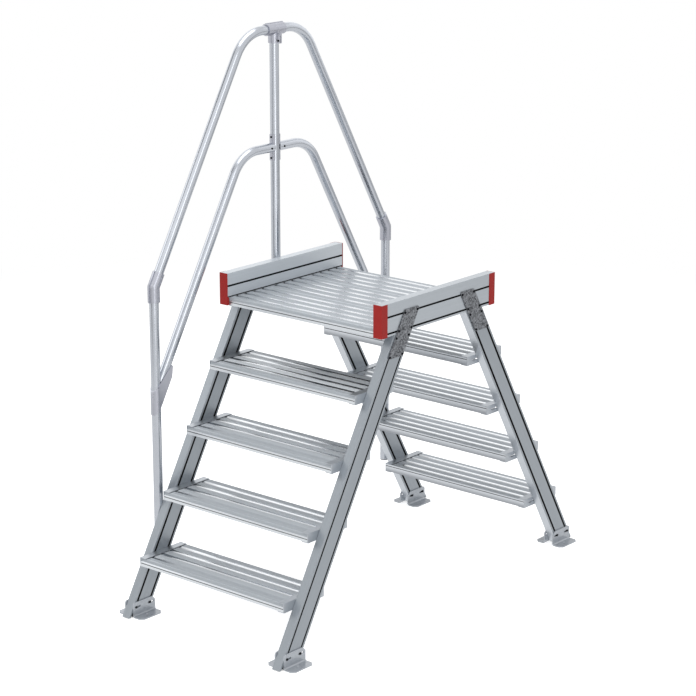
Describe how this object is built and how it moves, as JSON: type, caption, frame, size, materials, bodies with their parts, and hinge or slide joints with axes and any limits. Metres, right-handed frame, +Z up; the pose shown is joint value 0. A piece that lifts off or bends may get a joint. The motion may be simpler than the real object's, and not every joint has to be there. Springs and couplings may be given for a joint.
{
  "type": "crossover platform",
  "caption": "Aluminium crossover platform: two mirrored flights of grooved treads, a deck between toe boards, bolt-down feet and a tubular handrail on one side.",
  "frame": {"origin": "on the floor, in the middle of the floor anchors", "axes": "+Z up; Y along the way across, with the front flight at -Y; the handrail is at -X"},
  "size_m": [0.98, 1.9834, 2.358],
  "materials": {
    "profile_aluminium": "extruded, natural anodised",
    "plank_aluminium": "extruded, mill finish, grooved",
    "bracket_aluminium": "bent sheet, mill finish",
    "tube_aluminium": "satin anodised tube",
    "clamp_aluminium": "cast, blasted",
    "rail_bracket_aluminium": "bent sheet, satin",
    "gusset_steel": "hot-dip galvanised, mottled",
    "foot_steel": "bent plate, zinc plated",
    "cap_plastic": "moulded, fine texture",
    "plug_plastic": "moulded",
    "screw_steel": "black oxide",
    "nut_steel": "zinc plated"
  },
  "bodies": {
    "root": {"bracket_screws": "screw_steel", "deck_brackets_left": "bracket_aluminium", "deck_brackets_right": "bracket_aluminium", "deck_plank_1": "plank_aluminium", "deck_plank_2": "plank_aluminium", "deck_plank_3": "plank_aluminium", "elbow_front_inner_half": "clamp_aluminium", "elbow_front_outer_half": "clamp_aluminium", "elbow_rear_inner_half": "clamp_aluminium", "elbow_rear_outer_half": "clamp_aluminium", "end_cap_front_left": "cap_plastic", "end_cap_front_right": "cap_plastic", "end_cap_rear_left": "cap_plastic", "end_cap_rear_right": "cap_plastic", "foot_front_left_inner": "foot_steel", "foot_front_left_outer": "foot_steel", "foot_front_right_inner": "foot_steel", "foot_front_right_outer": "foot_steel", "foot_rear_left_inner": "foot_steel", "foot_rear_left_outer": "foot_steel", "foot_rear_right_inner": "foot_steel", "foot_rear_right_outer": "foot_steel", "frame_screws": "screw_steel", "gusset_front_left": "gusset_steel", "gusset_front_right": "gusset_steel", "gusset_rear_left": "gusset_steel", "gusset_rear_right": "gusset_steel", "mid_rail_bracket_front": "rail_bracket_aluminium", "mid_rail_bracket_rear": "rail_bracket_aluminium", "mid_rail_front": "tube_aluminium", "mid_rail_rear": "tube_aluminium", "post_bolts": "screw_steel", "post_centre": "tube_aluminium", "post_front": "tube_aluminium", "post_plugs": "plug_plastic", "post_rear": "tube_aluminium", "rail_screws": "screw_steel", "saddle_front": "rail_bracket_aluminium", "saddle_rear": "rail_bracket_aluminium", "slot_nuts": "nut_steel", "stile_front_left": "profile_aluminium", "stile_front_right": "profile_aluminium", "stile_rear_left": "profile_aluminium", "stile_rear_right": "profile_aluminium", "tee_clamp": "clamp_aluminium", "toe_board_left": "profile_aluminium", "toe_board_right": "profile_aluminium", "top_rail": "tube_aluminium", "tread_brackets_front_left": "bracket_aluminium", "tread_brackets_front_right": "bracket_aluminium", "tread_brackets_rear_left": "bracket_aluminium", "tread_brackets_rear_right": "bracket_aluminium", "tread_front_1": "plank_aluminium", "tread_front_2": "plank_aluminium", "tread_front_3": "plank_aluminium", "tread_front_4": "plank_aluminium", "tread_rear_1": "plank_aluminium", "tread_rear_2": "plank_aluminium", "tread_rear_3": "plank_aluminium", "tread_rear_4": "plank_aluminium"}
  },
  "joints": []
}
